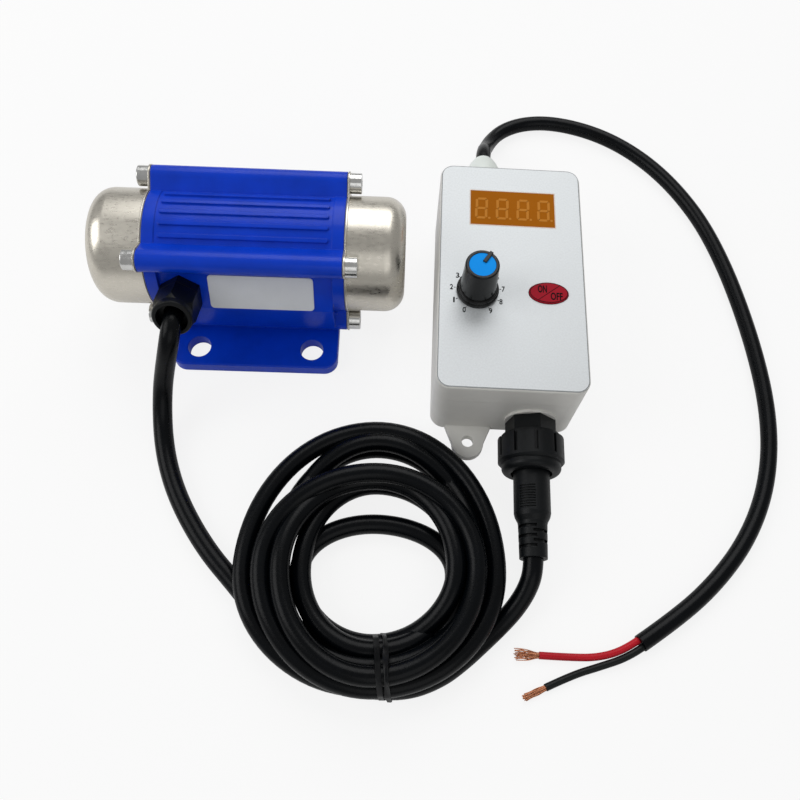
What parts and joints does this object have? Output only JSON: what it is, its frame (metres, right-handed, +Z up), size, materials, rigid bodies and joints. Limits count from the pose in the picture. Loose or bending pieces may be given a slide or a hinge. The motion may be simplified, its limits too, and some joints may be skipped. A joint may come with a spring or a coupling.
{
  "type": "vibration motor",
  "caption": "Foot-mounted vibration motor with eccentric weights under end covers, wired through a coiled lead to a small speed controller.",
  "frame": {"origin": "centre of the motor's four foot holes, on the foot's underside", "axes": "+Z up; +X along the motor shaft towards the controller; +Y away from the cable gland and nameplate side"},
  "size_m": [0.2445, 0.2402, 0.0507],
  "materials": {
    "blue_paint": "semi-gloss royal blue paint on cast aluminium",
    "cover_steel": "drawn stainless steel, satin",
    "bright_steel": "zinc-plated or polished steel",
    "bare_steel": "machined steel",
    "aluminium": "machined aluminium",
    "lamination": "laminated electrical steel",
    "copper": "bare or enamelled copper",
    "magnet": "nickel-plated magnet",
    "gasket_rubber": "black rubber",
    "black_plastic": "black moulded plastic",
    "cord_black": "black cord jacket",
    "plate_white": "bare printed-film plate",
    "case_grey": "warm light grey moulded plastic",
    "panel_silver": "silver film",
    "window_amber": "amber display filter",
    "circuit_green": "circuit board resist",
    "cap_blue": "light blue knob disc",
    "button_red": "red button",
    "gland_white": "white nylon",
    "core_red": "red core insulation",
    "tie_black": "black twist tie"
  },
  "bodies": {
    "base": {"motor_frame": "blue_paint", "end_shield_left": "aluminium", "end_shield_right": "aluminium", "shield_retaining_rings": "bare_steel", "bearing_outer_races": "bare_steel", "bearing_balls": "bright_steel", "stator_core": "lamination", "stator_windings": "copper", "gasket_left": "gasket_rubber", "gasket_right": "gasket_rubber", "end_cover_left": "cover_steel", "end_cover_right": "cover_steel", "cover_screws": "bright_steel", "nameplate": "plate_white", "gland_body": "black_plastic", "gland_nut": "black_plastic", "gland_seal": "gasket_rubber", "motor_cord_lead": "cord_black", "motor_cord_coil": "cord_black", "motor_cord_tail": "cord_black", "coil_tie": "tie_black", "plug_body": "black_plastic", "plug_pins": "bright_steel", "socket_body": "black_plastic", "socket_seal": "case_grey", "socket_nut": "black_plastic", "box_base": "case_grey", "box_lid": "case_grey", "box_screws": "bright_steel", "front_panel": "panel_silver", "display_window": "window_amber", "display_module": "black_plastic", "circuit_board": "circuit_green", "driver_components": "black_plastic", "pot_body": "bare_steel", "pot_nut": "bare_steel", "switch_body": "black_plastic", "supply_gland_body": "gland_white", "supply_gland_nut": "gland_white", "supply_cord": "cord_black", "core_red": "core_red", "core_black": "black_plastic", "copper_strands": "copper"},
    "rotor": {"motor_shaft": "bare_steel", "rotor_core": "lamination", "rotor_magnets": "magnet", "bearing_inner_races": "bare_steel", "fixed_weight_left": "bare_steel", "fixed_weight_right": "bare_steel", "fixed_weight_screws": "bright_steel", "shaft_circlips": "bare_steel"},
    "weight_left": {"adjustable_weight_left": "bare_steel", "adjust_screw_left": "bright_steel"},
    "weight_right": {"adjustable_weight_right": "bare_steel", "adjust_screw_right": "bright_steel"},
    "knob": {"speed_knob": "black_plastic", "knob_cap": "cap_blue", "pot_shaft": "bare_steel"},
    "button": {"power_button": "button_red"},
    "coupling": {"coupling_ring": "black_plastic"}
  },
  "joints": [
    {"name": "rotor_spin", "type": "hinge", "parent": "base", "child": "rotor", "pos_m": [0, 0, 0.0275], "axis": [1, 0, 0], "continuous": true},
    {"name": "left_weight_setting", "type": "hinge", "parent": "rotor", "child": "weight_left", "pos_m": [-0.04465, 0, 0.0275], "axis": [1, 0, 0], "range_deg": [0, 180]},
    {"name": "right_weight_setting", "type": "hinge", "parent": "rotor", "child": "weight_right", "pos_m": [0.04465, 0, 0.0275], "axis": [1, 0, 0], "range_deg": [0, 180]},
    {"name": "speed_knob_turn", "type": "hinge", "parent": "base", "child": "knob", "pos_m": [0.07846, -0.01799, 0.042], "axis": [0, 0, 1], "range_deg": [-118, 182]},
    {"name": "power_button_press", "type": "slide", "parent": "base", "child": "button", "axis": [0, 0, -1], "range_m": [0, 0.0005], "stiffness_N_per_m": 600},
    {"name": "coupling_ring_turn", "type": "hinge", "parent": "base", "child": "coupling", "pos_m": [0.09859, -0.06964, 0.0115], "axis": [-0.0169, -0.9999, 0], "range_deg": [0, 720]}
  ]
}
